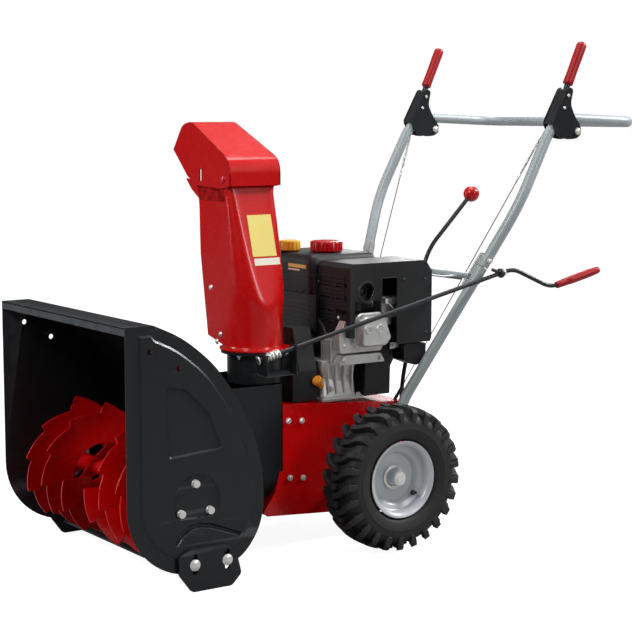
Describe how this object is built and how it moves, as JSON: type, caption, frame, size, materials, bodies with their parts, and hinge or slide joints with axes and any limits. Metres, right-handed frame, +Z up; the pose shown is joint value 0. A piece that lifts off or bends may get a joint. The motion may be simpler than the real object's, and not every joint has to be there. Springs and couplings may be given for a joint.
{
  "type": "two-stage snow blower",
  "caption": "Walk-behind two-stage snow blower with a serrated auger, turning discharge chute with tilting hood, engine, wheels and a sprung-lever handlebar.",
  "frame": {"origin": "on the ground, under the middle of the machine's overall box", "axes": "+Z up, -Y the way the machine drives and the auger faces, +X the operator's left"},
  "size_m": [0.6048, 1.4113, 1.1316],
  "materials": {
    "black_paint": "satin",
    "red_paint": "gloss",
    "silver_paint": "satin metallic",
    "rim_paint": "gloss",
    "zinc_steel": "zinc plated",
    "cast_iron": "sand cast",
    "cast_alloy": "die cast",
    "black_plastic": "fine moulded grain",
    "red_plastic": "moulded",
    "yellow_plastic": "moulded",
    "tyre_rubber": "matte",
    "belt_rubber": "matte",
    "grip_vinyl": "satin"
  },
  "bodies": {
    "machine": {"auger_housing": "black_paint", "left_side_plate": "black_paint", "right_side_plate": "black_paint", "scraper_bar": "black_paint", "left_skid_shoe": "black_paint", "right_skid_shoe": "black_paint", "impeller_housing": "black_paint", "left_lever_bracket": "black_paint", "right_lever_bracket": "black_paint", "crank_eye": "black_paint", "left_auger_bearing": "zinc_steel", "right_auger_bearing": "zinc_steel", "crank_bracket": "zinc_steel", "muffler": "zinc_steel", "left_clutch_cable": "zinc_steel", "right_clutch_cable": "zinc_steel", "auger_gearbox": "cast_iron", "tractor_body": "red_paint", "belt_cover": "black_plastic", "blower_housing": "black_plastic", "fuel_tank": "black_plastic", "engine_shroud": "black_plastic", "auger_belt": "belt_rubber", "drive_belt": "belt_rubber", "crankcase": "cast_alloy", "valve_cover": "cast_alloy", "carburettor": "cast_alloy", "left_lower_handle": "silver_paint", "right_lower_handle": "silver_paint", "upper_handle": "silver_paint", "cross_brace": "silver_paint"},
    "auger": {"auger_shaft": "zinc_steel", "left_auger": "red_paint", "right_auger": "red_paint"},
    "impeller": {"impeller_shaft": "zinc_steel", "impeller": "red_paint"},
    "engine_pulley": {"engine_pulley": "zinc_steel"},
    "wheels": {"axle": "zinc_steel", "axle_gear": "zinc_steel", "left_rim": "rim_paint", "right_rim": "rim_paint", "left_tyre": "tyre_rubber", "right_tyre": "tyre_rubber"},
    "layshaft": {"pinion_shaft": "zinc_steel", "friction_wheel": "belt_rubber"},
    "friction_disc": {"friction_disc": "zinc_steel"},
    "chute": {"chute": "red_paint"},
    "hood": {"deflector_hood": "red_paint"},
    "crank": {"chute_crank_rod": "zinc_steel"},
    "crank_grip": {"chute_crank_grip": "grip_vinyl"},
    "left_lever": {"left_clutch_lever": "black_paint", "left_lever_grip": "grip_vinyl"},
    "right_lever": {"right_clutch_lever": "black_paint", "right_lever_grip": "grip_vinyl"},
    "speed_lever": {"speed_lever": "black_paint", "speed_knob": "red_plastic"},
    "recoil_grip": {"recoil_grip": "black_plastic"},
    "fuel_cap": {"fuel_cap": "red_plastic"},
    "oil_cap": {"oil_cap": "yellow_plastic"},
    "throttle": {"throttle_lever": "zinc_steel"}
  },
  "joints": [
    {"name": "wheel_spin", "type": "hinge", "parent": "machine", "child": "wheels", "pos_m": [0, -0.02125, 0.163], "axis": [1, 0, 0], "continuous": true},
    {"name": "layshaft_spin", "type": "hinge", "parent": "machine", "child": "layshaft", "pos_m": [0, -0.02125, 0.23], "axis": [1, 0, 0], "continuous": true},
    {"name": "impeller_spin", "type": "hinge", "parent": "machine", "child": "impeller", "pos_m": [0, -0.31125, 0.183], "axis": [0, 1, 0], "continuous": true},
    {"name": "auger_spin", "type": "hinge", "parent": "machine", "child": "auger", "pos_m": [0, -0.55125, 0.183], "axis": [1, 0, 0], "continuous": true},
    {"name": "engine_spin", "type": "hinge", "parent": "machine", "child": "engine_pulley", "pos_m": [0, -0.14125, 0.436], "axis": [0, 1, 0], "continuous": true},
    {"name": "friction_disc_spin", "type": "hinge", "parent": "machine", "child": "friction_disc", "pos_m": [0, -0.11125, 0.23], "axis": [0, 1, 0], "continuous": true},
    {"name": "chute_turn", "type": "hinge", "parent": "machine", "child": "chute", "pos_m": [0.04, -0.24875, 0.447], "axis": [0, 0, 1], "range_deg": [-10, 190]},
    {"name": "crank_turn", "type": "hinge", "parent": "machine", "child": "crank", "pos_m": [0.13, -0.27225, 0.437], "axis": [0.1891, 0.9438, 0.2711], "range_deg": [-2300, 130]},
    {"name": "crank_grip_spin", "type": "hinge", "parent": "crank", "child": "crank_grip", "pos_m": [0.27916, 0.49146, 0.57937], "axis": [0.1891, 0.9438, 0.2711], "continuous": true},
    {"name": "hood_tilt", "type": "hinge", "parent": "chute", "child": "hood", "pos_m": [0.015, -0.24875, 0.82], "axis": [0, 1, 0], "range_deg": [-22, 18]},
    {"name": "left_lever_pull", "type": "hinge", "parent": "machine", "child": "left_lever", "pos_m": [0.264, 0.48875, 0.922], "axis": [-1, 0, 0], "range_deg": [0, 66], "stiffness_Nm_per_rad": 1, "springref_deg": -28.65},
    {"name": "right_lever_pull", "type": "hinge", "parent": "machine", "child": "right_lever", "pos_m": [-0.264, 0.48875, 0.922], "axis": [-1, 0, 0], "range_deg": [0, 66], "stiffness_Nm_per_rad": 1, "springref_deg": -28.65},
    {"name": "speed_shift", "type": "hinge", "parent": "machine", "child": "speed_lever", "pos_m": [0.06, 0.14675, 0.262], "axis": [0, 1, 0], "range_deg": [-13, 13]},
    {"name": "fuel_cap_turn", "type": "hinge", "parent": "machine", "child": "fuel_cap", "pos_m": [-0.045, 0.00475, 0.655], "axis": [0, 0, 1], "range_deg": [0, 90]},
    {"name": "oil_cap_turn", "type": "hinge", "parent": "machine", "child": "oil_cap", "pos_m": [-0.115, -0.05125, 0.655], "axis": [0, 0, 1], "range_deg": [0, 90]},
    {"name": "throttle_move", "type": "hinge", "parent": "machine", "child": "throttle", "pos_m": [0.125, 0.07075, 0.54], "axis": [1, 0, 0], "range_deg": [-22, 22]},
    {"name": "recoil_pull", "type": "slide", "parent": "machine", "child": "recoil_grip", "axis": [0, 1, 0], "range_m": [0, 0.3], "stiffness_N_per_m": 12, "springref_m": -0.2}
  ],
  "couplings": [
    {"joint": "layshaft_spin", "follows": "wheel_spin", "ratio": -3.125},
    {"joint": "auger_spin", "follows": "impeller_spin", "ratio": 0.1},
    {"joint": "friction_disc_spin", "follows": "engine_spin", "ratio": 0.56},
    {"joint": "crank_turn", "follows": "chute_turn", "ratio": -12}
  ]
}
